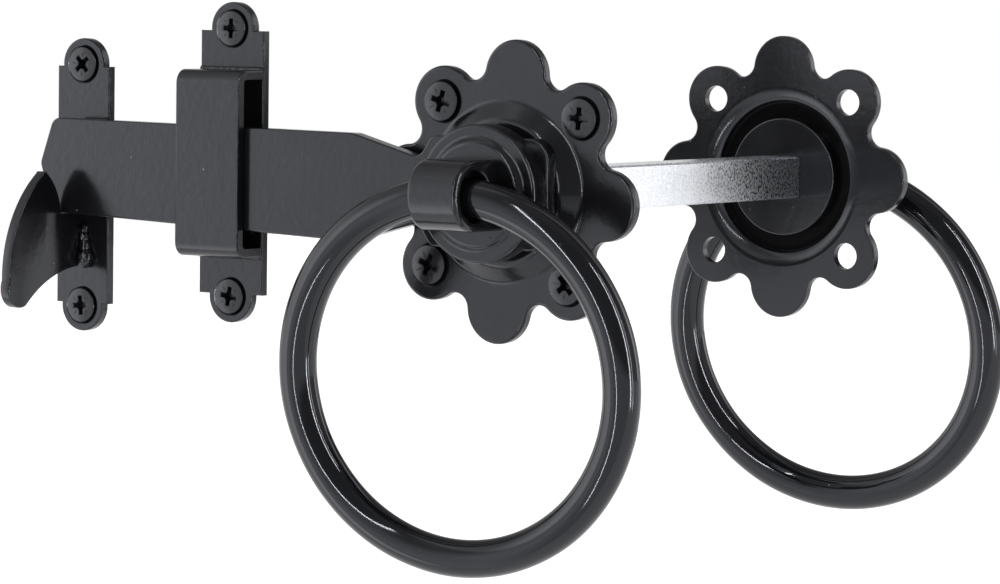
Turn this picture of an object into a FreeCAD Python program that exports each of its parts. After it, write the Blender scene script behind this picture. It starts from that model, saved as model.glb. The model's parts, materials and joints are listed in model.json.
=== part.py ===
import FreeCAD, Part
import math
import os

# Ring gate latch, in mm. The spindle runs along Y through the origin, the gate's front face is y = 0,
# the viewer stands on the -Y side, the bar points to -X and +Z is up.

V = FreeCAD.Vector
X, Y, Z = V(1, 0, 0), V(0, 1, 0), V(0, 0, 1)
os.makedirs("parts", exist_ok=True)

# Gate and spindle
gate_thick = 112.0        # between the backs of the two roses, as shown
spindle_side = 9.5
spindle_fit = 0.1         # slip clearance on each side of the square
spindle_edge = 0.4        # broken long edges
spindle_end_gap = 0.2     # end play at each socket floor

# Roses
rose_sheet = 2.5
petal_count = 8
petal_circle_r = 24.9     # also the screw circle
petal_r = 7.6
valley_depth = 7.5        # from a petal's tip in to the floor of the valley
rose_edge = 0.7           # rounded front edge of the pressing
rose_back_edge = 0.35
near_rose_turn = 4.5      # the near rose is fixed a little askew
dome_base_r = 19.4
dome_flat_r = 15.6
dome_rise = 2.9           # from the rose's front to the dome's front
dome_wall = 2.4
dome_bend = 1.8
mouth_bend = 2.7          # soft edge of the hollow behind

# Discs that hold the roses on the hubs
disc_r = 13.6
disc_thick = 2.0
disc_gap = 0.2
disc_edge = 0.4

# Bosses with their eyes
hub_r = 8.0
hub_run = 0.1             # running clearance in the rose
shank_land = 0.5          # square under the bar's head stands this far past the hub
shank_fit = 0.1
flange_r = 14.7
flange_thick = 6.0
face_r = 11.0             # raised middle of the flange
face_step = 1.2
face_slope = 1.0          # the step down to the rim runs out this far
face_bend = 1.1
flange_edge = 0.7
socket_floor = 2.0        # metal left in front of the spindle
eye_r = 7.5
eye_len = 12.6
eye_standoff = 8.2        # from the flange's face to the eye's axis

# Rings
rod_r = 4.1
ring_r = 38.5             # to the middle of the rod
eye_room = 1.1            # bore radius over the rod's
ring_gap = 0.2            # ring to bore where it hangs
ring_skew = 6.0           # the rings stand a little turned in their loose eyes
near_ring_lean = 5.0      # off plumb towards the gate
far_ring_lean = 10.0      # off plumb away from the gate

# Latch bar
bar_thick = 3.2
bar_gap = 0.2             # to the dome behind
head_half_w = 14.8
head_half_h = 11.8
head_corner = 4.5
neck_x = 18.0
neck_half_h = 7.0
neck_bend = 2.5
shoulder_x = 35.5
shoulder_half_h = 11.7
shoulder_bend = 5.0
tip_past = 6.85           # end of the bar past the middle of the catch
tip_top = 12.7
tip_low = -8.4
tip_slant = 3.6           # the end leans back to its corners
tip_nose_z = 2.5
tip_bend = 2.5
bar_edge = 0.4

# Guide and catch
plate_thick = 2.0
plate_edge = 0.35
tongue_r = 5.8
tongue_shift = 0.5        # tongue's middle past the shoulder
guide_x = -72.8
guide_z = 3.9
guide_wide = 17.2
guide_tall = 58.0         # between the shoulders
strap_wall = 2.0
strap_tall = 41.0
strap_gap = 0.3           # to the bar's front
strap_bend = 3.0
strap_edge = 0.4
staple_bead = 0.9
catch_x = -114.35
catch_z = -2.45
catch_wide = 14.6
catch_tall = 53.2
hook_thick = 2.5
hook_shift = -1.0         # hook's middle from the plate's
rest_gap = 0.15           # under the bar where it rests
notch_room = 1.0          # in front of the bar
hook_lip = 9.2            # tip above the notch floor
hook_tip_out = 6.6        # tip in front of the bar
hook_tip_wide = 1.2
hook_reach = 27.8         # furthest point from the post
hook_ramp_drop = 14.2     # end of the ramp below the notch floor
hook_toe_in = 5.8
hook_toe_drop = 5.8
hook_root_drop = 11.9     # underside at the plate, below the notch floor
ramp_bulge = 3.2
toe_bulge = 2.9
under_bulge = 2.0
notch_bulge = 1.1
weld_bead = 1.9
weld_pitch = 2.6

# Screws
screw_hole_r = 3.0
dish_rim = 0.6            # shallow dish round a hole, past the screw's head
dish_deep = 0.6
rose_head_r = 4.2
plate_head_r = 3.8
screw_rim = 0.35
screw_neck_r = 2.4        # plain neck in the hole
screw_shank_r = 2.1       # threaded part in the gate
rose_screw_len = 12.7
plate_screw_len = 10.0
screw_point = 4.0
screw_seat = 0.05         # cone to the edge of the hole

# Stack, as distances in front of the gate
tip_x = tip_past - catch_x
dome_front = rose_sheet + dome_rise
disc_front = dome_rise - disc_gap
bar_back = dome_front + bar_gap
bar_front = bar_back + bar_thick
strap_inner = bar_front + strap_gap
strap_outer = strap_inner + strap_wall
near_flange = bar_front
far_flange = bar_back
bore_r = rod_r + eye_room
socket_side = spindle_side + 2 * spindle_fit
cut = 1.0                 # overrun of cutting tools
touch = 0.01              # nearness by which edges are picked


def rounded(corners, place):
    """Face inside a polygon of (u, v, radius) corners, put in space by place(u, v)."""
    pts = [V(u, v, 0) for u, v, r in corners]
    n = len(pts)
    runs = []
    for i, (u, v, r) in enumerate(corners):
        back, on = pts[i - 1] - pts[i], pts[(i + 1) % n] - pts[i]
        if r == 0:
            runs.append((pts[i], None, pts[i]))
            continue
        room = 0.45 * min(back.Length, on.Length)
        back, on = back.normalize(), on.normalize()
        half = back.getAngle(on) / 2
        t = min(r / math.tan(half), room)
        r = t * math.tan(half)
        mid = (back + on).normalize() * (r / math.sin(half) - r)
        runs.append((pts[i] + back * t, pts[i] + mid, pts[i] + on * t))
    edges = []
    for i, (a, m, b) in enumerate(runs):
        a3, b3 = place(a.x, a.y), place(b.x, b.y)
        if m:
            edges.append(Part.Arc(a3, place(m.x, m.y), b3).toShape())
        edges.append(Part.makeLine(b3, place(runs[(i + 1) % n][0].x, runs[(i + 1) % n][0].y)))
    return Part.Face(Part.Wire(edges))


def turned(corners):
    """Solid of revolution about the spindle from (radius, distance in front of the gate, bend) corners."""
    return rounded(corners, lambda r, out: V(r, -out, 0)).revolve(V(0, 0, 0), Y, 360)


def drum(r, front, back):
    """Round bar on the spindle's axis between two distances in front of the gate."""
    return Part.makeCylinder(r, front - back, V(0, -front, 0), Y)


def square(side, front, back):
    """Square bar on the spindle's axis between two distances in front of the gate."""
    return Part.makeBox(side, front - back, side, V(-side / 2, -front, -side / 2))


def across(a, b, bulge):
    """Arc from a to b in a plane of constant x, with its middle set to the left of the run by bulge."""
    run = b - a
    left = V(0, -run.z, run.y).normalize()
    return Part.Arc(a, (a + b) * 0.5 + left * bulge, b).toShape()


def at_far(shape):
    """The same form on the far face of the gate."""
    return shape.mirror(V(0, gate_thick / 2, 0), Y)


def clean(shape):
    """One solid without leftover seams."""
    return shape.removeSplitter().Solids[0]


def eased(shape, r, chosen):
    """The shape with the chosen edges rounded."""
    return shape.makeFillet(r, [e for e in shape.Edges if chosen(e.BoundBox)])


def on_circle(r, deg):
    """Point on the rose's face, clockwise from straight up as the viewer sees it."""
    a = math.radians(deg)
    return V(r * math.sin(a), 0, r * math.cos(a))


def screw(place, sheet_front, head_r, length):
    """Countersunk screw whose cone seats on the edge of the hole, at the floor of its dish."""
    edge_r = screw_hole_r - screw_seat
    seat = sheet_front - dish_deep
    rim_back = seat + head_r - edge_r
    face = rim_back + screw_rim
    neck = seat - (edge_r - screw_neck_r)
    tip = face - length
    body = turned([(0, face, 0), (head_r, face, 0), (head_r, rim_back, 0), (screw_neck_r, neck, 0),
                   (screw_shank_r, 0, 0), (screw_shank_r, tip + screw_point, 0), (0, tip, 0)])
    return body.translate(place)


def holes(points, front, head_r):
    """Screw holes through a sheet that lies on the gate, each with a shallow dish in front."""
    bores = [Part.makeCylinder(screw_hole_r, front + 2 * cut, p - Y * (front + cut), Y) for p in points]
    dish_r = head_r + dish_rim
    return bores + [Part.makeCone(dish_r, screw_hole_r, dish_deep, p - Y * front, Y) for p in points]


def rose_screw_points(turn):
    """Middles of the petals that are drilled: every second one."""
    step = 360 / petal_count
    return [on_circle(petal_circle_r, turn + step * i) for i in range(1, petal_count, 2)]


def rose(turn):
    """Pressed rose on the near face: petals and valleys from tangent arcs, dome, hollow, hub and screw holes."""
    step = 360 / petal_count
    half = math.radians(step / 2)
    side, base = petal_circle_r * math.sin(half), petal_circle_r * math.cos(half)
    rise = petal_circle_r + petal_r - valley_depth - base
    valley_r = (side ** 2 + rise ** 2 - petal_r ** 2) / (2 * (petal_r - rise))
    valley_at = base + rise + valley_r
    edges = []
    for i in range(petal_count):
        deg = turn + step * i
        here, there = on_circle(petal_circle_r, deg), on_circle(petal_circle_r, deg + step)
        before = on_circle(valley_at, deg - step / 2)
        after = on_circle(valley_at, deg + step / 2)
        start = here + (before - here).normalize() * petal_r
        stop = here + (after - here).normalize() * petal_r
        goal = there + (after - there).normalize() * petal_r
        edges.append(Part.Arc(start, on_circle(petal_circle_r + petal_r, deg), stop).toShape())
        edges.append(Part.Arc(stop, on_circle(valley_at - valley_r, deg + step / 2), goal).toShape())
    sheet = Part.Face(Part.Wire(edges)).extrude(V(0, -rose_sheet, 0))
    if sheet.Volume < 0:
        sheet.reverse()
    sheet = eased(sheet, rose_edge, lambda b: b.YMax < -rose_sheet + touch)
    sheet = eased(sheet, rose_back_edge, lambda b: b.YMin > -touch)
    foot = dome_base_r + dome_bend
    dome = turned([(0, rose_sheet / 2, 0), (foot, rose_sheet / 2, 0), (foot, rose_sheet, 0),
                   (dome_base_r, rose_sheet, dome_bend), (dome_flat_r, dome_front, dome_bend), (0, dome_front, 0)])
    mouth = dome_base_r - dome_wall
    lip = mouth + mouth_bend
    bow = mouth_bend * (1 - math.sqrt(0.5))
    void = [V(0, cut, 0), V(lip, cut, 0), V(lip, 0, 0)]
    inner = [V(mouth, -mouth_bend, 0), V(dome_flat_r, -dome_rise, 0), V(0, -dome_rise, 0)]
    rim = Part.Arc(void[-1], V(mouth + bow, -bow, 0), inner[0]).toShape()
    lines = [Part.makeLine(a, b) for a, b in zip(void, void[1:])]
    lines += [rim] + [Part.makeLine(a, b) for a, b in zip(inner, inner[1:] + void[:1])]
    hollow = Part.Face(Part.Wire(lines)).revolve(V(0, 0, 0), Y, 360)
    body = sheet.fuse(dome).cut(hollow)
    body = body.cut(drum(hub_r + hub_run, dome_front + cut, 0))
    return clean(body.cut(holes(rose_screw_points(turn), rose_sheet, rose_head_r)))


def disc():
    """Flat disc behind the dome, with the spindle's square through it."""
    plate = drum(disc_r, disc_front, disc_front - disc_thick)
    plate = eased(plate, disc_edge, lambda b: b.YMin > disc_thick - disc_front - touch)
    return clean(plate.cut(square(socket_side, disc_front + cut, disc_front - disc_thick - cut)))


def boss(back, square_from):
    """Cast boss: flange from distance back on, hub to the disc, eye for the ring, square socket from behind."""
    front = back + flange_thick
    rim = front - face_step
    body = turned([(0, back, 0), (flange_r, back, 0), (flange_r, rim, flange_edge),
                   (face_r + face_slope, rim, face_bend), (face_r, front, face_bend), (0, front, 0)])
    body = body.fuse(drum(hub_r, back + cut, disc_front))
    if square_from < back:
        body = body.fuse(square(2 * (hub_r + shank_land), back + cut, square_from))
    axis = front + eye_standoff
    root = rim - cut
    wall = eye_r - bore_r
    profile = rounded([(root, -eye_r, 0), (axis, -eye_r, 0), (axis, eye_r, 0), (root, eye_r, 0)],
                      lambda out, z: V(-eye_len / 2, -out, z))
    eye = profile.extrude(X * eye_len)
    eye = eye.fuse(Part.makeCylinder(eye_r, eye_len, V(-eye_len / 2, -axis, 0), X)).removeSplitter()
    ends = [e for e in eye.Edges if e.BoundBox.XLength < touch and e.BoundBox.YMin < -root - touch]
    eye = eye.makeFillet(0.45 * wall, ends)
    eye = eye.cut(Part.makeCylinder(bore_r, eye_len + 2 * cut, V(-eye_len / 2 - cut, -axis, 0), X))
    flat = [e for e in eye.Edges if e.BoundBox.XLength < touch]
    mouths = [e for e in flat if abs(e.BoundBox.ZLength - 2 * bore_r) < touch]
    eye = eye.makeFillet(0.4 * wall, mouths)
    body = body.fuse(eye)
    return clean(body.cut(square(socket_side, front - socket_floor, disc_front - cut)))


def ring(flange_back, skew, lean):
    """Ring of round rod that clears its eye's mouths by ring_gap, turned by skew and leaning to the gate by lean."""
    axis = flange_back + flange_thick + eye_standoff
    half = eye_len / 2
    sag = ring_r - math.sqrt(ring_r ** 2 - half ** 2)
    turn = math.radians(skew)
    drop = math.sqrt((eye_room - ring_gap) ** 2 - (half * math.sin(turn)) ** 2) - sag
    middle = V(0, -axis, -drop - ring_r)
    body = Part.makeTorus(ring_r, rod_r, middle, V(-math.sin(turn), math.cos(turn), 0))
    return body.rotate(V(0, -axis, 0), X, lean)


def bar_low_z(x):
    """Height of the bar's lower edge."""
    share = (x + shoulder_x) / (-tip_x + tip_slant + shoulder_x)
    return -shoulder_half_h + share * (tip_low + shoulder_half_h)


def latch_bar():
    """Flat bar: tapered blade with a slanted end, waisted neck, head with a square hole."""
    blade = -tip_x + tip_slant
    outline = [(head_half_w, head_half_h, head_corner), (-head_half_w, head_half_h, neck_bend),
               (-neck_x, neck_half_h, neck_bend), (-shoulder_x, shoulder_half_h, shoulder_bend),
               (blade, tip_top, tip_bend), (-tip_x, tip_nose_z, tip_bend), (blade, tip_low, tip_bend),
               (-shoulder_x, -shoulder_half_h, shoulder_bend), (-neck_x, -neck_half_h, neck_bend),
               (-head_half_w, -head_half_h, neck_bend), (head_half_w, -head_half_h, head_corner)]
    body = rounded(outline, lambda x, z: V(x, -bar_back, z)).extrude(V(0, -bar_thick, 0))
    if body.Volume < 0:
        body.reverse()
    body = eased(body, bar_edge, lambda b: b.YMax < -bar_front + touch)
    hole = square(2 * (hub_r + shank_land + shank_fit), bar_front + cut, bar_back - cut)
    return clean(body.cut(hole))


def spindle():
    """Square spindle from the near socket to the far one."""
    near_end = near_flange + flange_thick - socket_floor - spindle_end_gap
    far_end = far_flange + flange_thick - socket_floor - spindle_end_gap
    length = near_end + gate_thick + far_end
    body = Part.makeBox(spindle_side, length, spindle_side, V(-spindle_side / 2, -near_end, -spindle_side / 2))
    return clean(body.makeChamfer(spindle_edge, [e for e in body.Edges if e.BoundBox.YLength > length / 2]))


def plate_screw_points(x, z, tall):
    """Screw places in the tongues of a fixing plate."""
    reach = tall / 2 + tongue_shift
    return [V(x, 0, z + reach), V(x, 0, z - reach)]


def fixing_plate(x, z, wide, tall):
    """Flat plate with a round tongue and a hole at each end."""
    body = Part.makeBox(wide, plate_thick, tall, V(x - wide / 2, -plate_thick, z - tall / 2))
    points = plate_screw_points(x, z, tall)
    body = body.fuse([Part.makeCylinder(tongue_r, plate_thick, V(p.x, -plate_thick, p.z), Y) for p in points])
    body = eased(body.removeSplitter(), plate_edge, lambda b: b.YMax < -plate_thick + touch)
    return clean(body.cut(holes(points, plate_thick, plate_head_r)))


def guide_staple():
    """Strap folded to a U, with its feet on the plate."""
    top, low = guide_z + strap_tall / 2, guide_z - strap_tall / 2
    inner_bend = strap_bend - strap_wall
    profile = [(plate_thick, top, 0), (strap_outer, top, strap_bend), (strap_outer, low, strap_bend),
               (plate_thick, low, 0), (plate_thick, low + strap_wall, 0),
               (strap_inner, low + strap_wall, inner_bend), (strap_inner, top - strap_wall, inner_bend),
               (plate_thick, top - strap_wall, 0)]
    def outside(b):
        return b.YMin < -strap_inner - strap_wall / 2 or b.ZMax > top - touch or b.ZMin < low + touch
    face = rounded(profile, lambda out, z: V(guide_x - guide_wide / 2, -out, z))
    body = face.extrude(X * guide_wide)
    return clean(eased(body, strap_edge, lambda b: b.XLength < touch and outside(b)))


def staple_weld():
    """A quarter-round bead along the outside of each foot."""
    beads = []
    for side in (1, -1):
        z = guide_z + side * strap_tall / 2
        start = V(guide_x - guide_wide / 2, -plate_thick, z)
        rod = Part.makeCylinder(staple_bead, guide_wide, start, X)
        corner = Part.makeBox(guide_wide, staple_bead, staple_bead,
                              start + V(0, -staple_bead, 0 if side > 0 else -staple_bead))
        beads.append(rod.common(corner).Solids[0])
    return beads


hook_right = catch_x + hook_shift + hook_thick / 2
notch_z = bar_low_z(hook_right) - rest_gap


def catch_hook():
    """Flat hook on edge: notch under the bar, tip in front of it, curved ramp, toe and hollow underside."""
    def at(out, z):
        return V(hook_right, -out, notch_z + z)
    tip_out = bar_front + hook_tip_out
    tip_front, tip_back = at(tip_out + hook_tip_wide / 2, hook_lip), at(tip_out - hook_tip_wide / 2, hook_lip)
    ramp_end = at(hook_reach, -hook_ramp_drop)
    toe_end = at(hook_reach - hook_toe_in, -hook_ramp_drop - hook_toe_drop)
    root_low, root_top = at(plate_thick, -hook_root_drop), at(plate_thick, 0)
    corner = at(bar_front + notch_room, 0)
    edges = [across(tip_back, tip_front, -hook_tip_wide / 3), across(tip_front, ramp_end, -ramp_bulge),
             across(ramp_end, toe_end, -toe_bulge), across(toe_end, root_low, under_bulge),
             Part.makeLine(root_low, root_top), Part.makeLine(root_top, corner),
             across(corner, tip_back, -notch_bulge)]
    return clean(Part.Face(Part.Wire(edges)).extrude(X * -hook_thick))


def hook_weld():
    """Three run-together beads in the corner between hook and plate, the lowest the fattest."""
    sizes = (0.75 * weld_bead, 0.85 * weld_bead, weld_bead)
    lowest = notch_z - hook_root_drop + weld_bead
    balls = [Part.makeSphere(r, V(hook_right, -plate_thick, lowest + weld_pitch * (len(sizes) - 1 - i)))
             for i, r in enumerate(sizes)]
    corner = Part.makeBox(catch_wide, catch_wide, catch_tall,
                          V(hook_right, -plate_thick - catch_wide, lowest - catch_tall / 2))
    return clean(balls[0].fuse(balls[1:]).common(corner))


near_rose_points = rose_screw_points(near_rose_turn)
guide_points = plate_screw_points(guide_x, guide_z, guide_tall)
catch_points = plate_screw_points(catch_x, catch_z, catch_tall)

nodes = {
    "near_rose": [rose(near_rose_turn)],
    "near_rose_screws": [screw(p, rose_sheet, rose_head_r, rose_screw_len) for p in near_rose_points],
    "near_disc": [disc()],
    "near_boss": [boss(near_flange, bar_back + shank_fit)],
    "near_ring": [ring(near_flange, ring_skew, near_ring_lean)],
    "latch_bar": [latch_bar()],
    "spindle": [spindle()],
    "far_rose": [at_far(rose(0))],
    "far_disc": [at_far(disc())],
    "far_boss": [at_far(boss(far_flange, far_flange))],
    "far_ring": [at_far(ring(far_flange, -ring_skew, -far_ring_lean))],
    "guide_plate": [fixing_plate(guide_x, guide_z, guide_wide, guide_tall)],
    "guide_staple": [guide_staple()],
    "staple_weld": staple_weld(),
    "guide_screws": [screw(p, plate_thick, plate_head_r, plate_screw_len) for p in guide_points],
    "catch_plate": [fixing_plate(catch_x, catch_z, catch_wide, catch_tall)],
    "catch_hook": [catch_hook()],
    "hook_weld": [hook_weld()],
    "catch_screws": [screw(p, plate_thick, plate_head_r, plate_screw_len) for p in catch_points],
}

for name, solids in nodes.items():
    shape = solids[0] if len(solids) == 1 else Part.makeCompound(solids)
    shape.exportStep(f"parts/{name}.step")
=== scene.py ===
# %% [markdown]
# # A black ring gate latch
# Two petalled roses carry ring handles on one square spindle. The near boss also turns a flat bar, which
# runs through a staple and drops behind a ramped hook. The plain metal comes from the CAD frame as it is.
# What a maker would add by hand is modelled here: the screws with their cross slots and threads, the weld
# beads, the eased hook, the rolled mouth of the far rose and the slightly uneven rod of the rings.
# Blender counts in metres, so lengths are written as a number of millimetres times MM.

# %% Load the CAD frame and keep its box
import json
import math

import bmesh
import bpy
from mathutils import Matrix, Vector

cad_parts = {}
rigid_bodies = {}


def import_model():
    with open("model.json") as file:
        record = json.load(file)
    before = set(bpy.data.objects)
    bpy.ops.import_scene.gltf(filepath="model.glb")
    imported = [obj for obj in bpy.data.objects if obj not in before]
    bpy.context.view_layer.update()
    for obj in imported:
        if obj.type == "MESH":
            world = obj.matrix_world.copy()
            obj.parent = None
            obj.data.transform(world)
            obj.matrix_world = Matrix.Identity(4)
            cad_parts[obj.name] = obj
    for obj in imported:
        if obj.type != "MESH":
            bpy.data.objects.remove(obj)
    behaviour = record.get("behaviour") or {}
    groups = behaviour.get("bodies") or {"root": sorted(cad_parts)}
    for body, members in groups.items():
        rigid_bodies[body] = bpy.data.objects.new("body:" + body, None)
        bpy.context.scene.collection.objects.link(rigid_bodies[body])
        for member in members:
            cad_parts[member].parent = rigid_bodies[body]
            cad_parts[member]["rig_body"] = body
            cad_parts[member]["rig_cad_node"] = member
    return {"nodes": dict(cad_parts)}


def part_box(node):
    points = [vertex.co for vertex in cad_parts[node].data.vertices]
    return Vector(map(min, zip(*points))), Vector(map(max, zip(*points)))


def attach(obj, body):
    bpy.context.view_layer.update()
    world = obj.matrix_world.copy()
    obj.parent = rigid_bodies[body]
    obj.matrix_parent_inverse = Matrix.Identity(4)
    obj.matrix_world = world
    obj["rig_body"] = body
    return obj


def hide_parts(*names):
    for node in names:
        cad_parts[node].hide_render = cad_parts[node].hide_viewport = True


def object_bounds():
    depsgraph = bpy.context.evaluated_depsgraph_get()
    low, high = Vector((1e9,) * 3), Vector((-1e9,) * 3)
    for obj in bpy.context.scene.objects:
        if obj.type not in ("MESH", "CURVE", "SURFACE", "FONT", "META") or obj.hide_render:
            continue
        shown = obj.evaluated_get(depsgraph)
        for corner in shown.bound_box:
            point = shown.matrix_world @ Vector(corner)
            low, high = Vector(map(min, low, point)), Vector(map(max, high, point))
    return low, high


MM = 0.001
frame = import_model()
nodes = frame["nodes"]
cad_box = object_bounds()
print("CAD box in mm:", [round(x / MM, 1) for corner in cad_box for x in corner])

# %% [markdown]
# ## One object at a time
# An operator acts on whatever is selected, and a freshly loaded frame is selected all over. So each step
# first selects one object alone, and opens its mesh with nothing picked, as a careful hand would.

# %% Select and open one object
def only(obj):
    """Makes obj the one selected and active object."""
    bpy.ops.object.select_all(action="DESELECT")
    obj.select_set(True)
    bpy.context.view_layer.objects.active = obj


def edit(obj):
    """Opens obj alone in edit mode with nothing selected."""
    only(obj)
    bpy.ops.object.mode_set(mode="EDIT")
    bpy.ops.mesh.select_mode(type="VERT")
    bpy.ops.mesh.select_all(action="DESELECT")


def leave_edit():
    bpy.ops.object.mode_set(mode="OBJECT")


print("CAD nodes to work around:", ", ".join(nodes))

# %% [markdown]
# ## Screws
# Each fixing is a black countersunk wood screw, driven until its cone sits on the edge of its hole, so the
# head stands a little proud. A lathe turns its body. Here one point is extruded along the profile and the
# line is spun about the axis. A scaled cylinder would do too, but a profile keeps all radii in one list.

# %% Turn a profile about the spindle's direction
merge_gap = 0.001 * MM


def settle(name):
    """Names the active object and puts its place, turn and size into its mesh."""
    obj = bpy.context.view_layer.objects.active
    obj.name = obj.data.name = name
    bpy.ops.object.transform_apply(location=True, rotation=True, scale=True)
    return obj


def face_out(obj):
    """Merges doubles and turns every face outwards."""
    edit(obj)
    bpy.ops.mesh.select_all(action="SELECT")
    bpy.ops.mesh.remove_doubles(threshold=merge_gap)
    bpy.ops.mesh.normals_make_consistent(inside=False)
    leave_edit()


def turned(name, profile, steps):
    """Solid of revolution about Y from (radius, y) points."""
    bpy.ops.mesh.primitive_plane_add(size=MM)
    obj = settle(name)
    edit(obj)
    bpy.ops.mesh.select_all(action="SELECT")
    bpy.ops.mesh.merge(type="CENTER")
    at = Vector((0, 0, 0))
    for i, (r, y) in enumerate(profile):
        goal = Vector((r, y, 0))
        if i == 0:
            bpy.ops.transform.translate(value=goal - at)
        else:
            bpy.ops.mesh.extrude_region_move(TRANSFORM_OT_translate={"value": goal - at})
        at = goal
    bpy.ops.mesh.select_all(action="SELECT")
    bpy.ops.mesh.spin(steps=steps, angle=2 * math.pi, center=(0, 0, 0), axis=(0, 1, 0))
    leave_edit()
    face_out(obj)
    return obj


print("Turned forms merge points closer than", merge_gap / MM, "mm")

# %% [markdown]
# ### A bar for the cross slot
# The driver's slot has walls that lean in towards its floor. A cross could be drawn and extruded in one go,
# but wings and heart taper differently. So each pair of wings is a bar of its own: a cube is brought to
# size, and its far face, which is picked by its place, is drawn in.

# %% Make one tapered bar
cut_over = 0.5 * MM
bar_floor_thick = 0.8
far_face_share = 0.9


def pick(kind, test):
    """Selects the open mesh's edges or faces whose middle passes the test."""
    bpy.ops.mesh.select_mode(type={"edges": "EDGE", "faces": "FACE"}[kind])
    mesh = bmesh.from_edit_mesh(bpy.context.edit_object.data)
    for part in getattr(mesh, kind):
        middle = sum((p.co for p in part.verts), Vector()) / len(part.verts)
        if test(middle):
            part.select_set(True)
    mesh.select_flush_mode()
    bmesh.update_edit_mesh(bpy.context.edit_object.data)


def bar_cutter(wide, thick, deep, floor_share, face_y, turn, shift=0.0):
    """Tapered bar that sinks from the face of the head, for one pair of wings or one tick."""
    bpy.ops.mesh.primitive_cube_add(size=1, location=(shift, face_y + (deep - cut_over) / 2, 0))
    obj = bpy.context.view_layer.objects.active
    obj.scale = (wide, deep + cut_over, thick)
    obj = settle("slot_bar")
    edit(obj)
    pick("faces", lambda m: m.y > face_y + far_face_share * deep)
    floor_middle = (shift, face_y + deep, 0)
    bpy.ops.transform.resize(value=(floor_share, 1, bar_floor_thick), center_override=floor_middle)
    bpy.ops.mesh.select_all(action="SELECT")
    bpy.ops.transform.rotate(value=-math.radians(turn), orient_axis="Y", center_override=(0, 0, 0))
    leave_edit()
    return obj


print("A bar stands", cut_over / MM, "mm out of the head, so that the cut is clean")

# %% [markdown]
# ### The whole cross
# Two crossed bars give the four wings, two shorter and thicker ones at 45 degrees the wider heart, and four
# tiny ones the ticks between the wings. They are joined, so that one cut makes the slot. The cross is turned
# by a degree or so, because an edge that lies exactly on a spoke of the turned head spoils the cut.

# %% Join the bars into a cross
slot_span, slot_deep = 1.26, 2.2 * MM
wing_thick, wing_floor = 0.3, 0.5
heart_span, heart_thick, heart_deep, heart_floor = 0.5, 0.55, 0.85, 0.55
tick_long, tick_thick, tick_deep, tick_floor, tick_out = 0.2, 0.05, 0.12 * MM, 0.9, 0.46
off_spokes = 1.3


def joined(parts, name):
    """All parts as one object."""
    only(parts[0])
    for part in parts[1:]:
        part.select_set(True)
    bpy.ops.object.join()
    return settle(name)


def cross_cutter(head_r, face_y):
    """Four wings, the wider heart between them and four ticks, all in one object."""
    span = slot_span * head_r
    heart = heart_span * span
    bars = []
    for turn in (0, 90):
        bars.append(bar_cutter(span, wing_thick * head_r, slot_deep, wing_floor, face_y, off_spokes + turn))
    for turn in (45, 135):
        bars.append(bar_cutter(heart, heart_thick * heart, heart_deep * slot_deep, heart_floor, face_y,
                               off_spokes + turn))
    for turn in (45, 135, 225, 315):
        bars.append(bar_cutter(tick_long * head_r, tick_thick * head_r, tick_deep, tick_floor, face_y,
                               off_spokes + turn, tick_out * span))
    return joined(bars, "cross_cutter")


print("The slot spans", slot_span, "of the head's radius and is", slot_deep / MM, "mm deep")

# %% [markdown]
# ### Thread
# The thread is a sharp ridge rolled onto the core. A bump in the finish could hint at it, but wouldn't show
# in the outline from behind, where the screws stand free. So a small triangle is swept up the axis by the
# Screw modifier. Its points are then drawn in towards the tip and at the start, where a thread fades out.

# %% Wind a thread
thread_pitch = 1.6 * MM
thread_root_r = 1.5 * MM
thread_crest_r = 2.08 * MM
thread_sunk = 0.1 * MM
ridge_half = 0.36 * thread_pitch
steps_a_turn = 24
start_share = 0.72
point_len = 4.0 * MM


def apply_modifier(obj, kind, **settings):
    """Adds a modifier, sets it and applies it at once."""
    only(obj)
    bpy.ops.object.modifier_add(type=kind)
    modifier = obj.modifiers[-1]
    for key, value in settings.items():
        setattr(modifier, key, value)
    bpy.ops.object.modifier_apply(modifier=modifier.name)


def thread(name, start_y, tip_y):
    """Sharp ridge wound round the core, drawn in to the point."""
    turns = int((tip_y - start_y) / thread_pitch) - 1
    bpy.ops.mesh.primitive_circle_add(vertices=3, radius=ridge_half)
    obj = settle(name)
    foot_r = thread_root_r - thread_sunk
    corners = [(foot_r, -ridge_half), (foot_r, ridge_half), (thread_crest_r, 0)]
    for point, (r, y) in zip(obj.data.vertices, corners):
        point.co = (r, start_y + ridge_half + y, 0)
    apply_modifier(obj, "SCREW", axis="Y", screw_offset=thread_pitch, iterations=turns, steps=steps_a_turn,
                   render_steps=steps_a_turn, use_normal_calculate=True)
    edit(obj)
    bpy.ops.mesh.select_all(action="SELECT")
    bpy.ops.mesh.fill_holes(sides=0)
    leave_edit()
    for point in obj.data.vertices:
        draw_in = min(1.0, (tip_y - point.co.y) / point_len)
        run_in = min(1.0, start_share + (1 - start_share) * (point.co.y - start_y) / thread_pitch)
        point.co.x *= draw_in * run_in
        point.co.z *= draw_in * run_in
    face_out(obj)
    return obj


print("Thread pitch", thread_pitch / MM, "mm, crest across", round(2 * thread_crest_r / MM, 2), "mm")

# %% [markdown]
# ### One screw
# The head has a short upright rim with an eased edge, then a 45 degree cone down to the neck. The cross is
# cut out with a Boolean, which leaves crisp walls, and the thread is joined to the shank.

# %% Make one countersunk screw
head_rim = 0.35 * MM
ease_in, ease_down = 0.24 * MM, 0.192 * MM
corner_in, corner_down = 0.072 * MM, 0.048 * MM
neck_r = 2.4 * MM
shank_r = 2.1 * MM
thread_start_y = 0.4 * MM
head_steps = 64


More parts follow.
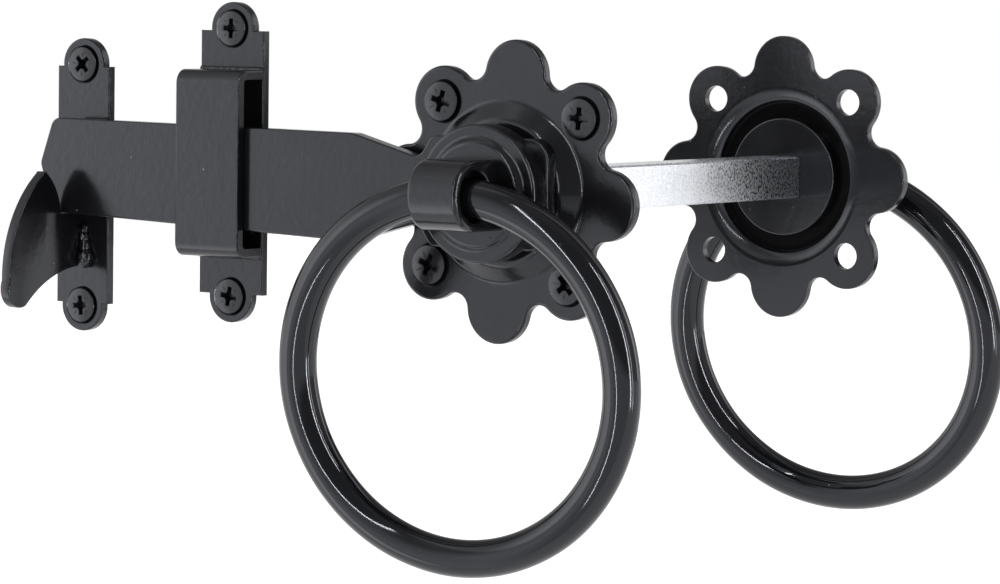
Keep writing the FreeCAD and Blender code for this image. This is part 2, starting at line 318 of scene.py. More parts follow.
def countersunk_screw(name, head_r, face_y, tip_y):
    """One screw on the Y axis, with its face at face_y and its point at tip_y."""
    neck_y = face_y + head_rim + head_r - neck_r
    profile = [
        (0, face_y),
        (head_r - ease_in, face_y),
        (head_r - corner_in, face_y + corner_down),
        (head_r, face_y + ease_down),
        (head_r, face_y + head_rim),
        (neck_r, neck_y),
        (shank_r, 0),
        (thread_root_r, thread_start_y),
        (thread_root_r, tip_y - point_len),
        (0, tip_y),
    ]
    screw = turned(name, profile, head_steps)
    cutter = cross_cutter(head_r, face_y)
    apply_modifier(screw, "BOOLEAN", operation="DIFFERENCE", solver="EXACT", use_self=True, object=cutter)
    bpy.data.objects.remove(cutter)
    return joined([screw, thread(name + "_thread", thread_start_y, tip_y)], name)


print("Neck", 2 * neck_r / MM, "mm across, shank", 2 * shank_r / MM, "mm across")

# %% [markdown]
# ### Where the screws go
# The CAD node of a set of screws holds them all in one mesh. Its points are sorted by the side of the node's
# box that they lie on, left or right and up or down, and each group's own box gives one screw's middle and
# the radius of its head. A plate's two screws stand above each other, so only up and down count there.

# %% Read the places of the screws from the frame
LEFT, RIGHT, UP, DOWN = False, True, True, False
wider_than_plate = 20 * MM


def screw_places(node_name):
    """Middle x, middle z and head radius of each screw in a node, by the side that it lies on."""
    low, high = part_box(node_name)
    middle = (low + high) / 2
    on_rose = high.x - low.x > wider_than_plate
    groups = {}
    for point in nodes[node_name].data.vertices:
        side = (point.co.x > middle.x and on_rose, point.co.z > middle.z)
        groups.setdefault(side, []).append(point.co)
    places = {}
    for side, points in groups.items():
        xs = [p.x for p in points]
        zs = [p.z for p in points]
        places[side] = ((min(xs) + max(xs)) / 2, (min(zs) + max(zs)) / 2, (max(xs) - min(xs)) / 2)
    return places


for screw_node in ("near_rose_screws", "guide_screws", "catch_screws"):
    head_radii = [round(place[2] / MM, 2) for place in screw_places(screw_node).values()]
    print(screw_node, "head radii in mm:", head_radii)

# %% [markdown]
# ### Copies and riding
# What repeats is modelled once and copied, here with a mesh of its own, because each copy is moved in its
# mesh.

# %% Copy, smooth and ride
def copy_of(obj, name):
    """A copy with its own mesh."""
    only(obj)
    bpy.ops.object.duplicate()
    twin = bpy.context.view_layer.objects.active
    twin.name = twin.data.name = name
    return twin


def smooth(obj, degrees):
    """Shades smooth, and keeps edges sharp that turn by more than the angle."""
    only(obj)
    bpy.ops.object.shade_smooth_by_angle(angle=math.radians(degrees))


def ride_as(obj, body, slot, *stands_for):
    """Lets a finished piece ride on a body in place of CAD nodes."""
    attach(obj, body)
    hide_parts(*stands_for)
    print(f"{obj.name}: {len(obj.data.polygons)} faces, stands for {', '.join(stands_for)}")


# %% [markdown]
# ### Setting the screws
# A driver never stops at the same angle twice, so every copy of a screw is turned a little differently before
# it is moved to its place. The angles are in degrees. Random ones would do, but these follow the photograph.

# %% Set the screws in place
screw_smooth = 32


def screw_set(node_name, name, turns):
    """Copies of one screw at a node's places, each turned as it was driven."""
    low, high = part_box(node_name)
    places = screw_places(node_name)
    head_r = next(iter(places.values()))[2]
    model = countersunk_screw(name + "_model", head_r, low.y, high.y)
    copies = []
    for side, turn in turns.items():
        x, z, _ = places[side]
        twin = copy_of(model, name + "_copy")
        twin.data.transform(Matrix.Translation((x, 0, z)) @ Matrix.Rotation(math.radians(turn), 4, "Y"))
        copies.append(twin)
    bpy.data.objects.remove(model)
    screws = joined(copies, name)
    smooth(screws, screw_smooth)
    ride_as(screws, "fixed", "black_screw", node_name)
    return screws


rose_turns = {(LEFT, UP): 15, (RIGHT, UP): 2, (LEFT, DOWN): 20, (RIGHT, DOWN): 50}
guide_turns = {(LEFT, UP): 0, (LEFT, DOWN): 9}
catch_turns = {(LEFT, UP): 48, (LEFT, DOWN): -6}
rose_screws = screw_set("near_rose_screws", "rose_screws", rose_turns)
guide_screws = screw_set("guide_screws", "guide_screws_cut", guide_turns)
catch_screws = screw_set("catch_screws", "catch_screws_cut", catch_turns)

# %% [markdown]
# ## Rings
# The handles are bent from round rod, and such rod is never quite even. A bevelled circle curve would give
# the loop, but a torus is a mesh at once. A very small, slow displacement then makes the highlights wander
# along it as they do on the real paint. Each ring is turned a little in its eye and leans, as the CAD one.

# %% Bend the two rings
ring_mid_r = 38.5 * MM
rod_r = 4.1 * MM
ring_steps, rod_steps = 224, 40
ring_skew = math.radians(6)
near_lean, far_lean = 5, 10
wave_size, wave_contrast = 12 * MM, 0.5
wave_deep, wave_middle = 0.2 * MM, 0.8


def handle_ring(node_name, name, body, lean):
    """Ring at the middle of its node's box, turned in its eye and leaning by an angle in degrees."""
    low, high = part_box(node_name)
    upright = Matrix.Rotation(math.pi / 2, 3, "X")
    stand = Matrix.Rotation(math.radians(lean), 3, "X") @ Matrix.Rotation(ring_skew, 3, "Z") @ upright
    bpy.ops.mesh.primitive_torus_add(location=(low + high) / 2, rotation=stand.to_euler(),
                                     major_segments=ring_steps, minor_segments=rod_steps,
                                     major_radius=ring_mid_r, minor_radius=rod_r)
    ring = settle(name)
    wave = bpy.data.textures.new(name + "_wave", "CLOUDS")
    wave.noise_scale = wave_size
    wave.noise_depth = 0
    wave.contrast = wave_contrast
    apply_modifier(ring, "DISPLACE", texture=wave, texture_coords="LOCAL", strength=wave_deep,
                   mid_level=wave_middle)
    bpy.data.textures.remove(wave)
    only(ring)
    bpy.ops.object.shade_smooth()
    ride_as(ring, body, "black_paint", node_name)
    over = [max(p.co[i] for p in ring.data.vertices) - high[i] for i in range(3)]
    print(f"{name} over its CAD box by", [round(x / MM, 2) for x in over], "mm")
    return ring


near_ring = handle_ring("near_ring", "near_ring_rod", "near_handle", near_lean)
far_ring = handle_ring("far_ring", "far_ring_rod", "far_handle", far_lean)

# %% [markdown]
# ## Hook
# The catch is a thick plate stood on edge, and its rims are rounded, so they catch a bright line. The CAD
# plate is copied, its triangles are dissolved back to clean faces, and its rims are bevelled. Drawing the
# outline anew would work too, but the copy is sure to fit the plate that it stands on.

# %% Ease the hook's rims
cad_gap = 0.002 * MM
flat_angle = math.radians(0.4)
hook_ease, hook_ease_steps = 0.95 * MM, 6
rim_angle, hook_smooth = math.radians(40), 35


def loose_copy(node_name, name):
    """Copy of a CAD piece that can be worked on: points merged, triangles on flats dissolved."""
    piece = copy_of(nodes[node_name], name)
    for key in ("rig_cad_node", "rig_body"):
        del piece[key]
    piece.parent = None
    edit(piece)
    bpy.ops.mesh.select_all(action="SELECT")
    bpy.ops.mesh.remove_doubles(threshold=cad_gap)
    bpy.ops.mesh.dissolve_limited(angle_limit=flat_angle)
    leave_edit()
    return piece


hook = loose_copy("catch_hook", "hook_eased")
apply_modifier(hook, "BEVEL", width=hook_ease, segments=hook_ease_steps, limit_method="ANGLE",
               angle_limit=rim_angle, harden_normals=False)
smooth(hook, hook_smooth)
ride_as(hook, "fixed", "black_paint", "catch_hook")

# %% [markdown]
# ## Rolled mouth of the far rose
# Where the dome was pressed out, the sheet on its inner side rolls softly into the hollow. The CAD hollow
# has a small rounding, which is too tight to bevel further. So a copy of the rose is cut with one turned
# plug. It is a hair larger than the hollow all over, and its mouth flares in a quarter ellipse.

# %% Draw the plug's section
roll_in_r, roll_out_r, roll_deep = 17.3 * MM, 21.4 * MM, 1.9 * MM
hollow_wall_r, hollow_wall_deep = 17.15 * MM, 2.8 * MM
hollow_floor_r, hollow_deep = 15.6 * MM, 2.98 * MM
roll_steps = 16
plug_clear = 1.0 * MM
plug_skim = 0.02 * MM


def plug_section(back_y):
    """(radius, y) points of the plug, from its outer end to the floor of the hollow."""
    rim_y = back_y - plug_skim
    wide_r = roll_out_r + plug_clear
    section = [(0, back_y - plug_clear), (wide_r, back_y - plug_clear), (wide_r, rim_y)]
    for i in range(roll_steps + 1):
        turn = math.radians(90 * i / roll_steps)
        r = roll_out_r - (roll_out_r - roll_in_r) * math.sin(turn)
        section.append((r, rim_y + roll_deep * (1 - math.cos(turn))))
    section.append((hollow_wall_r, back_y + hollow_wall_deep))
    section.append((hollow_floor_r, back_y + hollow_deep))
    section.append((0, back_y + hollow_deep))
    return section


print("The mouth rolls in from", roll_out_r / MM, "to", roll_in_r / MM, "mm radius")

# %% [markdown]
# ### Cutting it
# The plug is turned in an odd number of steps, because a rounder number puts its edges on those of the rose's
# hole, where a Boolean can leave a gap. Weighted normals then keep the petals flat beside the soft roll.

# %% Cut the far rose
plug_steps = 157
rose_smooth = 30


def rolled_rose(node_name, name):
    """Copy of the rose whose hollow has a broad, soft mouth."""
    rose = loose_copy(node_name, name)
    cutter = turned("roll_cutter", plug_section(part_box(node_name)[0].y), plug_steps)
    apply_modifier(rose, "BOOLEAN", operation="DIFFERENCE", solver="EXACT", object=cutter)
    bpy.data.objects.remove(cutter)
    smooth(rose, rose_smooth)
    apply_modifier(rose, "WEIGHTED_NORMAL", keep_sharp=True)
    ride_as(rose, "fixed", "black_paint", node_name)
    return rose


far_rose = rolled_rose("far_rose", "far_rose_rolled")

# %% [markdown]
# ## Welds
# Hook and staple are welded to their plates by hand, and the runs are lumpy. A bump in the finish could
# fake that, but the outline would stay smooth. So a Displace modifier pushes the surface in and out by a
# noise, half of it each way, and the lumps are in the mesh.

# %% Roughen a surface
weld_octaves = 2
half_each_way = 0.5


def roughen(obj, size, depth):
    """Pushes the surface in and out by noise of a given size."""
    lumps = bpy.data.textures.new(obj.name + "_noise", "CLOUDS")
    lumps.noise_scale = size
    lumps.noise_depth = weld_octaves
    apply_modifier(obj, "DISPLACE", texture=lumps, texture_coords="LOCAL", strength=depth,
                   mid_level=half_each_way)
    bpy.data.textures.remove(lumps)


print("Weld noise is made of", weld_octaves + 1, "layers")

# %% [markdown]
# ### Blobs of the hook
# The hook is held by a short run of blobs, the largest at the bottom. Each is a sphere that is squashed into
# the corner. Metaballs would flow together too, but they are hard to aim, so a voxel remesh melts the
# spheres into one skin, and a little smoothing rounds the joins.

# %% Melt the hook's blobs together
blob_run = ((0.2, 2.3), (0.52, 1.7), (0.76, 1.4), (0.97, 1.2))
blob_sideways, blob_forward = 0.5, 0.4
blob_squash = (0.8, 0.75, 1.0)
blob_slices, blob_rings = 24, 16
melt_size, melt_smooth, melt_rounds = 0.16 * MM, 0.5, 6
bead_noise, bead_deep = 0.9 * MM, 0.5 * MM


def hook_beads():
    """Blobs up the corner of hook and plate, from (share of the height, radius in mm) pairs."""
    low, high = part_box("hook_weld")
    tall = high.z - low.z
    blobs = []
    for share, size in blob_run:
        place = (low.x + blob_sideways * size * MM, high.y - blob_forward * size * MM, low.z + share * tall)
        bpy.ops.mesh.primitive_uv_sphere_add(segments=blob_slices, ring_count=blob_rings, radius=size * MM,
                                             location=place)
        blob = settle("blob")
        edit(blob)
        bpy.ops.mesh.select_all(action="SELECT")
        bpy.ops.transform.resize(value=blob_squash, center_override=place)
        leave_edit()
        blobs.append(blob)
    beads = joined(blobs, "hook_weld_beads")
    apply_modifier(beads, "REMESH", mode="VOXEL", voxel_size=melt_size)
    apply_modifier(beads, "SMOOTH", factor=melt_smooth, iterations=melt_rounds)
    roughen(beads, bead_noise, bead_deep)
    only(beads)
    bpy.ops.object.shade_smooth()
    ride_as(beads, "fixed", "black_paint", "hook_weld")
    return beads


beads = hook_beads()

# %% [markdown]
# ### Seams of the staple
# Each foot of the staple is held by a thin uneven seam. More blobs would be too coarse for it. So a rod is
# laid along the corner, cut across many times and roughened. The half of it that lies inside the metal can't
# be seen and does no harm.

# %% Lay the staple's seams
seam_share, seam_short = 0.75, 0.6 * MM
seam_sides, seam_cuts = 20, 60
seam_noise, seam_deep = 1.3 * MM, 0.25 * MM
near_middle = 0.1 * MM


def staple_seam():
    """One rod at each foot of the strap, as long as the node's box, a little short of its ends."""
    low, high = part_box("staple_weld")
    strap_low, strap_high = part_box("guide_staple")
    bead_r = high.z - strap_high.z
    middle_x = (low.x + high.x) / 2
    seams = []
    for z in (strap_low.z, strap_high.z):
        bpy.ops.mesh.primitive_cylinder_add(vertices=seam_sides, radius=seam_share * bead_r,
                                            depth=high.x - low.x - seam_short,
                                            location=(middle_x, high.y, z), rotation=(0, math.pi / 2, 0))
        rod = settle("seam")
        edit(rod)
        pick("edges", lambda m: abs(m.x - middle_x) < near_middle)
        bpy.ops.mesh.subdivide(number_cuts=seam_cuts)
        leave_edit()
        seams.append(rod)
    seam = joined(seams, "staple_weld_seam")
    roughen(seam, seam_noise, seam_deep)
    only(seam)
    bpy.ops.object.shade_smooth()
    ride_as(seam, "fixed", "black_paint", "staple_weld")
    return seam


seam = staple_seam()

# %% [markdown]
# ## Finishes
# Nearly everything wears one coat of black powder paint: a charcoal that shines softly, with a fine grain,
# slow clouds of duller and brighter sheen, and a few specks. A finish could be painted on an image, but
# nodes that read Object coordinates need no unwrapping and stay with the piece when it moves.

# %% Start a material
def new_material(name):
    """Empty node material with its shader."""
    material = bpy.data.materials.new(name)
    material.use_nodes = True
    tree = material.node_tree
    tree.nodes.clear()
    output = tree.nodes.new("ShaderNodeOutputMaterial")
    shader = tree.nodes.new("ShaderNodeBsdfPrincipled")
    tree.links.new(shader.outputs["BSDF"], output.inputs["Surface"])
    return material, tree, shader


def node(tree, kind, **settings):
    """New node with its sockets or properties set."""
    made = tree.nodes.new(kind)
    for key, value in settings.items():
        if key in made.inputs:
            made.inputs[key].default_value = value
        else:
            setattr(made, key, value)
    return made


def maths(tree, operation, first, second):
    """Math node of two numbers or sockets."""
    made = node(tree, "ShaderNodeMath", operation=operation)
    for socket, value in zip(made.inputs, (first, second)):
        if isinstance(value, (int, float)):
            socket.default_value = value
        else:
            tree.links.new(value, socket)
    return made.outputs[0]


made_here = (rose_screws, guide_screws, catch_screws, near_ring, far_ring, hook, far_rose, beads, seam)
print("Pieces to finish:", len(nodes), "CAD nodes and", len(made_here), "pieces made here")

# %% [markdown]
# ### Patterns
# A paint film varies slowly, so its clouds are a noise with large cells. Dust that settled in it makes
# scattered dots, which a Voronoi texture gives as the distance to the nearest of many points. A Map Range
# node brings a pattern into the range that is wanted.

# %% Make patterns
def noise(tree, place, cells_per_mm, detail, rough=0.5):
    """Soft noise, with a number of cells to the millimetre."""
    made = node(tree, "ShaderNodeTexNoise", Scale=cells_per_mm / MM, Detail=detail, Roughness=rough)
    tree.links.new(place, made.inputs["Vector"])
    return made.outputs["Fac"]


def spread(tree, value, low, high, from_low, from_high):
    """Maps a value from one range to another and holds it there."""
    made = tree.nodes.new("ShaderNodeMapRange")
    ends = {"From Min": from_low, "From Max": from_high, "To Min": low, "To Max": high}
    for key, number in ends.items():
        made.inputs[key].default_value = number
    tree.links.new(value, made.inputs["Value"])
    return made.outputs["Result"]


def dots(tree, place, per_mm, radius):
    """Scattered round dots, 1 in the middle of a dot and 0 between them."""
    cells = node(tree, "ShaderNodeTexVoronoi", Scale=per_mm / MM)
    tree.links.new(place, cells.inputs["Vector"])
    return spread(tree, cells.outputs["Distance"], 1, 0, 0.5 * radius, radius)


print("Patterns are sized in cells to the millimetre, so 1 is", 1 / MM, "to the metre")

# %% [markdown]
# ### Colour and relief
# A colour ramp turns a pattern into shades, and a chain of Bump nodes turns several patterns into one relief.
# Real displacement would be too heavy for a grain this fine, and bumps don't change the outline.

# %% Turn patterns into colour and relief
def shades(tree, value, *stops):
    """Colour ramp through (position, colour) stops."""
    ramp = tree.nodes.new("ShaderNodeValToRGB")
    while len(ramp.color_ramp.elements) < len(stops):
        ramp.color_ramp.elements.new(1.0)
    for stop, (position, colour) in zip(ramp.color_ramp.elements, stops):
        stop.position = position
        stop.color = (*colour, 1)
    tree.links.new(value, ramp.inputs["Fac"])
    return ramp.outputs["Color"]


def bumps(tree, shader, *layers):
    """Stacks (height, depth in mm, strength) layers into the shader's normal."""
    last = None
    for height, depth, strength in layers:
        bump = node(tree, "ShaderNodeBump", Strength=strength, Distance=depth * MM)
        tree.links.new(height, bump.inputs["Height"])
        if last:
            tree.links.new(last, bump.inputs["Normal"])
        last = bump.outputs["Normal"]
    tree.links.new(last, shader.inputs["Normal"])


# %% [markdown]
# ### Masks
# Inside the far rose's hollow, shade is painted in: near black with little sheen. A mask marks that place by
# its distance from the spindle's axis and by its depth, both read from Object coordinates. A Mix node lays
# one colour over another.

# %% Mark the hollow for painted shade and lay colours over each other
mask_r, mask_deep, mask_edge = 17.1 * MM, 3.4 * MM, 0.15 * MM


def within(tree, place, radius, depth):
    """1 nearer to the spindle's axis than radius and at a smaller y than depth, otherwise 0."""
    axes = tree.nodes.new("ShaderNodeSeparateXYZ")
    tree.links.new(place, axes.inputs[0])
    square = [maths(tree, "MULTIPLY", axes.outputs[i], axes.outputs[i]) for i in ("X", "Z")]
    far_out = maths(tree, "SQRT", maths(tree, "ADD", *square), 0.0)
    near_axis = spread(tree, far_out, 1, 0, radius - mask_edge, radius + mask_edge)
    return maths(tree, "MULTIPLY", near_axis, maths(tree, "LESS_THAN", axes.outputs["Y"], depth))


def blend(tree, share, colour, other):
    """Mixes a colour socket towards a fixed colour by a share from 0 to 1."""
    mix = node(tree, "ShaderNodeMix", data_type="RGBA")
    tree.links.new(share, mix.inputs[0])
    tree.links.new(colour, mix.inputs[6])
    mix.inputs[7].default_value = (*other, 1)
    return mix.outputs[2]


# mask of the far rose's hollow, where shade is painted into the colour
painted_shade_mask = (mask_r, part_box("far_rose")[0].y + mask_deep)
print("The hollow's mask ends at radius and y, in mm:", [round(x / MM, 2) for x in painted_shade_mask])

# %% [markdown]
# ### Black paint
# One recipe serves all the black pieces. Its clouds set both the colour and the roughness, so that dull
# patches are also a little paler. Three layers of relief lie over each other: a soft orange peel, a finer
# grain and a few nibs of dust. Pale specks are rare. What differs from piece to piece is passed in.

# %% Mix a black coat
# painted shade: the far rose's hollow gets a near-black colour and little sheen to stand in for its shade
sheen, painted_shade_sheen = 0.5, 0.08
cool_sheen = (0.90, 0.92, 1.0, 1)
painted_shade_black, speck_grey = (0.004, 0.004, 0.0045), (0.22, 0.22, 0.23)
cloud_cells, cloud_detail, cloud_rough = 0.09, 5, 0.65
cloud_low, cloud_high = 0.15, 0.85
peel_cells, peel_detail, peel_strength = 0.6, 1, 0.5
grain_cells, grain_detail, grain_rough, grain_strength = 1.6, 3, 0.6, 0.5
speck_cells, speck_r = 0.07, 0.017
nib_cells, nib_r, nib_deep, nib_strength = 0.16, 0.045, 0.12, 0.7


def black_coat(name, blacks, gloss, peel_deep, grain_deep, recess=None):
    """Paint from two colours, a (shiny, dull) roughness pair, depths of relief in mm and a recess with
    painted shade.
    """
    material, tree, shader = new_material(name)
    place = tree.nodes.new("ShaderNodeTexCoord").outputs["Object"]
    clouds = noise(tree, place, cloud_cells, cloud_detail, cloud_rough)
    colour = shades(tree, clouds, (cloud_low, blacks[0]), (cloud_high, blacks[1]))
    shader.inputs["Specular IOR Level"].default_value = sheen
    shader.inputs["Specular Tint"].default_value = cool_sheen
    # painted shade: inside the hollow the colour goes near black and the sheen drops
    if recess:
        inside = within(tree, place, *recess)
        tree.links.new(spread(tree, inside, sheen, painted_shade_sheen, 0, 1), shader.inputs["Specular IOR Level"])
        colour = blend(tree, inside, colour, painted_shade_black)
    colour = blend(tree, dots(tree, place, speck_cells, speck_r), colour, speck_grey)
    tree.links.new(colour, shader.inputs["Base Color"])
    tree.links.new(spread(tree, clouds, *gloss, cloud_low, cloud_high), shader.inputs["Roughness"])
    peel = noise(tree, place, peel_cells, peel_detail)
    grain = noise(tree, place, grain_cells, grain_detail, grain_rough)
    nibs = dots(tree, place, nib_cells, nib_r)
    bumps(tree, shader, (peel, peel_deep, peel_strength), (grain, grain_deep, grain_strength),
          (nibs, nib_deep, nib_strength))
    return material


print("Paint clouds are about", round(1 / cloud_cells, 1), "mm across")

# %% [markdown]
# ### Five coats
# The plates and the near rose have the plain coat, and the far rose adds painted shade in its hollow. The
# rings are glossier and smoother than the plates, the screws a shade paler, and the weld beads a shade
# darker.

# %% Mix the coats
plate_blacks = ((0.006, 0.0063, 0.0075), (0.011, 0.0113, 0.013))
ring_blacks = ((0.005, 0.0053, 0.0065), (0.009, 0.0093, 0.011))
screw_blacks = ((0.008, 0.008, 0.0088), (0.013, 0.013, 0.014))
weld_blacks = ((0.005, 0.005, 0.006), (0.009, 0.009, 0.010))
plate_gloss = (0.14, 0.20)
plate_peel, plate_grain = 0.04, 0.02
paint = black_coat("black_powder_paint", plate_blacks, plate_gloss, plate_peel, plate_grain)
# this coat carries the painted shade of the far rose's hollow
rose_paint = black_coat("far_rose_paint", plate_blacks, plate_gloss, plate_peel, plate_grain, painted_shade_mask)
ring_paint = black_coat("ring_paint", ring_blacks, gloss=(0.07, 0.11), peel_deep=0.008, grain_deep=0.002)
screw_black = black_coat("screw_black", screw_blacks, gloss=(0.15, 0.22), peel_deep=0.02, grain_deep=0.012)
weld_gloss = black_coat("weld_gloss", weld_blacks, gloss=(0.10, 0.18), peel_deep=0.02, grain_deep=0.006)
print("Coats:", ", ".join(coat.name for coat in (paint, rose_paint, ring_paint, screw_black, weld_gloss)))

# %% [markdown]
# ### Zinc
# The spindle is drawn square bar with a bright zinc plating. Zinc grows in small crystals, so the metal
# sparkles in spots: a fine mottle varies its roughness and tilts its surface, and streaks run along the bar.
# The colour hardly varies, because a clean plating is one metal all over.

# %% Plate the spindle
streak_cells, streak_detail, streak_rough, streak_stretch = 2.4, 5, 0.75, 0.3
spangle_cells, spangle_detail, spangle_rough = 1.5, 4, 0.7
spangle_low, spangle_high = 0.38, 0.6
zinc_blue, zinc_white = (0.88, 0.91, 0.99), (0.97, 0.98, 1.0)
bright_rough, dull_rough = 0.17, 0.43
spangle_relief, streak_relief = (0.07, 0.8), (0.04, 0.6)


def zinc_skin():
    """Bright metal with a spangled, slightly blue skin and drawn streaks along its length."""
    material, tree, shader = new_material("zinc_plate")
    place = tree.nodes.new("ShaderNodeTexCoord").outputs["Object"]
    along = tree.nodes.new("ShaderNodeMapping")
    along.inputs["Scale"].default_value = (1, streak_stretch, 1)
    tree.links.new(place, along.inputs["Vector"])
    streaks = noise(tree, along.outputs["Vector"], streak_cells, streak_detail, streak_rough)
    spangle = noise(tree, place, spangle_cells, spangle_detail, spangle_rough)
    tint = shades(tree, spangle, (spangle_low, zinc_blue), (spangle_high, zinc_white))
    rough = spread(tree, spangle, bright_rough, dull_rough, spangle_low, spangle_high)
    tree.links.new(tint, shader.inputs["Base Color"])
    shader.inputs["Metallic"].default_value = 1.0
    tree.links.new(rough, shader.inputs["Roughness"])
    bumps(tree, shader, (spangle, *spangle_relief), (streaks, *streak_relief))
    return material


zinc = zinc_skin()
print("Spangles of the zinc are about", round(1 / spangle_cells, 2), "mm across")

# %% [markdown]
# ### Dressing the latch
# Each piece gets one finish. All CAD nodes get the plain coat first, and the spindle and the pieces made here
# are then dressed one by one.

# %% Put the finishes on
def dress(obj, material):
    """Gives obj one material."""
    obj.data.materials.clear()
    obj.data.materials.append(material)


for cad_piece in nodes.values():
    dress(cad_piece, paint)
dress(nodes["spindle"], zinc)
for piece in (rose_screws, guide_screws, catch_screws):
    dress(piece, screw_black)
for piece in (near_ring, far_ring):
    dress(piece, ring_paint)
for piece in (hook, seam):
    dress(piece, paint)
dress(far_rose, rose_paint)
dress(beads, weld_gloss)
print("Finishes in use:", len(bpy.data.materials))

# %% [markdown]
# ## Floor
# The latch hangs well above a pale floor, as it would on a gate. To the eye, to mirrors and to glass the
# floor adds a glow of its own up to white, so it can't be told from the white behind it. A Light Path node
# tells such rays from those that light dull surfaces, which the glow doesn't reach.

# %% Lay the floor
floor_drop = 300 * MM
floor_side, floor_front = 8.0, 0.25
floor_grey, floor_rough, floor_glow = (0.86, 0.86, 0.86, 1), 0.9, 0.66

floor_z = cad_box[0].z - floor_drop
bpy.ops.mesh.primitive_plane_add(size=floor_side, location=(0, floor_side / 2 - floor_front, floor_z))
floor = settle("floor")


def floor_finish():
    """Dull pale grey that glows for rays from the eye, a mirror or glass."""
    material, tree, shader = new_material("pale_floor")
    path = tree.nodes.new("ShaderNodeLightPath")
    mirrored = maths(tree, "MAXIMUM", path.outputs["Is Glossy Ray"], path.outputs["Is Transmission Ray"])
    seen = maths(tree, "MAXIMUM", path.outputs["Is Camera Ray"], mirrored)
    shader.inputs["Base Color"].default_value = floor_grey
    shader.inputs["Roughness"].default_value = floor_rough
    shader.inputs["Emission Color"].default_value = (1, 1, 1, 1)
    tree.links.new(maths(tree, "MULTIPLY", seen, floor_glow), shader.inputs["Emission Strength"])
    return material


dress(floor, floor_finish())
print("Floor at z", round(floor_z / MM, 1), "mm")

# %% [markdown]
# ## Light tent
# A black, shiny thing shows little but its surroundings, so it is photographed in a tent of pale cloth with
# brighter and darker panels. The world plays the tent here: its level depends on the direction, as a list of
# azimuths in degrees, 0 being straight in front, with a lower level overhead. The wide opening in front of
# the camera is dark, which keeps the flats black. Panels of mesh would do too, but would have to be hidden.

# %% Set the levels of the tent
tent_levels = (
    (-180, 0.5), (-120, 0.6), (-100, 1.1), (-70, 1.7), (-52, 2.6), (-42, 2.6), (-37, 1.5),
    (-34, 1.1), (-30, 1.35), (-24, 1.4), (-18, 1.1), (-8, 0.85), (3, 0.85), (88, 0.85),
    (110, 0.65), (138, 0.4), (142, 0.55), (146, 2.2), (156, 2.2), (165, 0.6), (180, 0.5),
)
brightest = max(level for _, level in tent_levels)
opening_level, opening_azimuth = 0.22, math.radians(45)
opening_inner, opening_outer = math.radians(39), math.radians(43)
opening_bottom, opening_top = (-0.16, -0.04), (0.7, 0.9)
roof_share, roof_band = 0.4, (0.2, 0.6)
print("Tent levels from", min(level for _, level in tent_levels), "to", brightest)

# %% [markdown]
# ### Sewing the tent
# In the world's nodes, Generated coordinates are the direction in which a ray leaves. Its x and y give the
# azimuth, which picks a level from a colour ramp, and its z is the height for the roof and for the opening.

# %% Turn directions into light
def directions(tree):
    """The x, y and z of the way a ray looks into the world."""
    axes = tree.nodes.new("ShaderNodeSeparateXYZ")
    tree.links.new(tree.nodes.new("ShaderNodeTexCoord").outputs["Generated"], axes.inputs[0])
    return axes.outputs


def tent(tree):
    """Level of the tent by azimuth, and much darker through the opening where the camera stands."""
    look = directions(tree)
    azimuth = maths(tree, "ARCTAN2", look["X"], maths(tree, "MULTIPLY", look["Y"], -1.0))
    share = spread(tree, azimuth, 0, 1, -math.pi, math.pi)
    stops = [((turn + 180) / 360, (level / brightest,) * 3) for turn, level in tent_levels]
    walls = shades(tree, share, *stops)
    aside = maths(tree, "ABSOLUTE", maths(tree, "SUBTRACT", azimuth, opening_azimuth), 0.0)
    above = spread(tree, look["Z"], 0, 1, *opening_bottom)
    below = spread(tree, look["Z"], 1, 0, *opening_top)
    beside = spread(tree, aside, 1, 0, opening_inner, opening_outer)
    inside = maths(tree, "MULTIPLY", beside, maths(tree, "MULTIPLY", above, below))
    roof = spread(tree, look["Z"], brightest, brightest * roof_share, *roof_band)
    lit = maths(tree, "MULTIPLY", walls, roof)
    cloth = maths(tree, "MULTIPLY", lit, maths(tree, "SUBTRACT", 1.0, inside))
    return maths(tree, "ADD", cloth, maths(tree, "MULTIPLY", inside, opening_level))


print("The opening's level is", opening_level)

# %% [markdown]
# ### White behind the latch
# Straight to the eye the world is white with a strength of 1. Mirrors and glass see that white where they
# look the way the camera looks, and the tent elsewhere. Dull surfaces get the tent's light with a small
# gain, so that a middle grey renders about as it is written.

# %% Join the tent and the white into the world
view_azimuth, view_elevation, view_roll = 33.741, 3.809, 0.734
plain_gain = 1.3
backdrop_edge = (0.95, 0.98)


def backdrop(tree):
    """1 for the eye, and for mirrors and glass that look the way the camera looks, otherwise 0."""
    path = tree.nodes.new("ShaderNodeLightPath")
    look = directions(tree)
    turn = math.radians(view_azimuth)
    ahead = maths(tree, "SUBTRACT", maths(tree, "MULTIPLY", look["Y"], math.cos(turn)),
                  maths(tree, "MULTIPLY", look["X"], math.sin(turn)))
    mirrored = maths(tree, "MAXIMUM", path.outputs["Is Glossy Ray"], path.outputs["Is Transmission Ray"])
    behind = maths(tree, "MULTIPLY", mirrored, spread(tree, ahead, 0, 1, *backdrop_edge))
    return maths(tree, "MAXIMUM", path.outputs["Is Camera Ray"], behind)


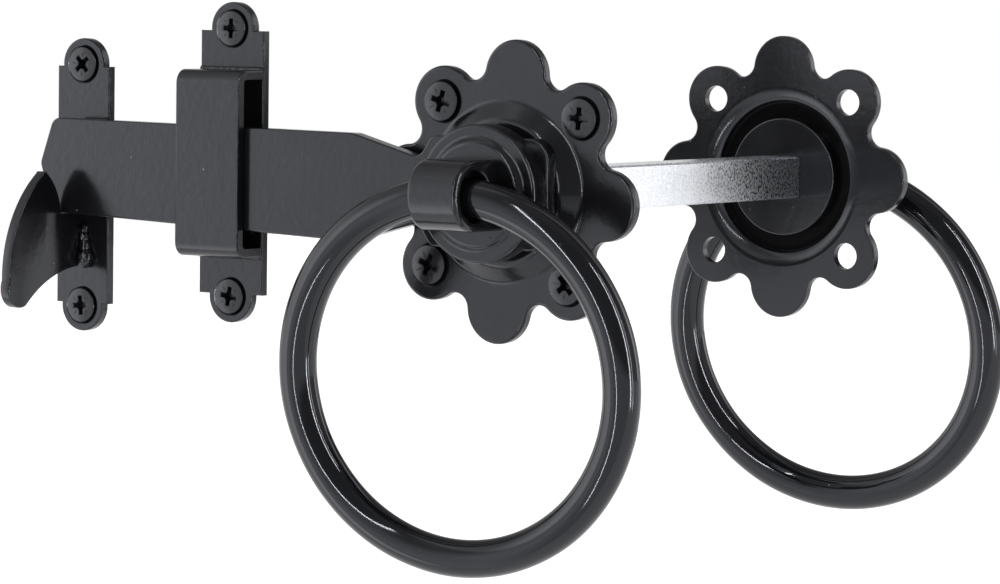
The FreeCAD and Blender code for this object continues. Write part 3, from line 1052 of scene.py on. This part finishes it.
world = bpy.data.worlds.new("studio")
bpy.context.scene.world = world
world.use_nodes = True
sky_tree = world.node_tree
sky = sky_tree.nodes["Background"]
sky.inputs["Color"].default_value = (1, 1, 1, 1)
white = backdrop(sky_tree)
dull_rays = sky_tree.nodes.new("ShaderNodeLightPath").outputs["Is Diffuse Ray"]
gain = spread(sky_tree, dull_rays, 1, plain_gain, 0, 1)
tent_light = maths(sky_tree, "MULTIPLY", tent(sky_tree), gain)
elsewhere = maths(sky_tree, "MULTIPLY", tent_light, maths(sky_tree, "SUBTRACT", 1.0, white))
sky_tree.links.new(maths(sky_tree, "ADD", white, elsewhere), sky.inputs["Strength"])
print("World nodes:", len(sky_tree.nodes))

# %% [markdown]
# ## Strips of light
# Slim strip lamps draw the fine bright lines along the rods of the rings. They show in reflections only, so
# they don't change the plain level of the light. The bright spindle would burn out in them, so Blender's
# light linking keeps them off it, as a photographer would with a card.

# %% Hang the strips
strip_aim = Vector((-0.03, 0.03, -0.02))
strip_distance = 1.1
shaded = bpy.data.collections.new("shaded_from_strips")
shaded.objects.link(nodes["spindle"])
shaded.collection_objects[0].light_linking.link_state = "EXCLUDE"


def towards(azimuth, elevation):
    """Direction from the latch to an azimuth and an elevation in degrees."""
    a, e = math.radians(azimuth), math.radians(elevation)
    return Vector((math.sin(a) * math.cos(e), -math.cos(a) * math.cos(e), math.sin(e)))


def strip(name, azimuth, elevation, size, power):
    """Area lamp aimed at the latch, with its (width, height) in metres and its power in watts."""
    away = towards(azimuth, elevation)
    lamp = bpy.data.lights.new(name, "AREA")
    lamp.shape = "RECTANGLE"
    lamp.size, lamp.size_y = size
    lamp.energy = power
    obj = bpy.data.objects.new(name, lamp)
    bpy.context.scene.collection.objects.link(obj)
    obj.location = strip_aim + away * strip_distance
    obj.rotation_euler = (-away).to_track_quat("-Z", "Y").to_euler()
    obj.visible_diffuse = False
    obj.light_linking.receiver_collection = shaded
    print(f"{name}: {power} W at azimuth {azimuth}")


strip("strip_front", azimuth=5, elevation=8, size=(0.024, 2.0), power=7.0)
strip("strip_right", azimuth=86, elevation=6, size=(0.03, 1.8), power=10.0)
strip("strip_behind", azimuth=100, elevation=6, size=(0.018, 1.6), power=2.5)

# %% [markdown]
# ## Camera
# The photograph was taken with a long lens from the right, a little above the latch. The focal length is
# written in pixels of a picture 1000 wide, which is how it was measured, and turned into a lens here. The
# camera's own axes are worked out from its angles, because a small roll is easiest to add that way.

# %% Place the camera
view_distance = 1064.57 * MM
view_target = Vector((-2.586, 0, -21.397)) * MM
focal_px, frame_px, sensor_mm = 5000.0, 1000.0, 36

back = towards(view_azimuth, view_elevation)
turn, roll = math.radians(view_azimuth), math.radians(view_roll)
level_right = Vector((math.cos(turn), math.sin(turn), 0))
level_up = back.cross(level_right)
right = level_right * math.cos(roll) + level_up * math.sin(roll)
up = level_up * math.cos(roll) - level_right * math.sin(roll)

camera_data = bpy.data.cameras.new("camera")
camera_data.sensor_width = sensor_mm
camera_data.lens = focal_px / frame_px * sensor_mm
camera = bpy.data.objects.new("camera", camera_data)
bpy.context.scene.collection.objects.link(camera)
camera_turn = Matrix((right, up, back)).transposed().to_4x4()
camera.matrix_world = Matrix.Translation(view_target + back * view_distance) @ camera_turn
bpy.context.scene.camera = camera
bpy.context.scene.view_settings.view_transform = "Standard"
print("Lens:", round(camera_data.lens), "mm")

# %% [markdown]
# ## Finish
# A dressed part should fill the CAD part's box and no more. At the end nothing is left selected.

# %% Clear the selection
bpy.ops.object.select_all(action="DESELECT")
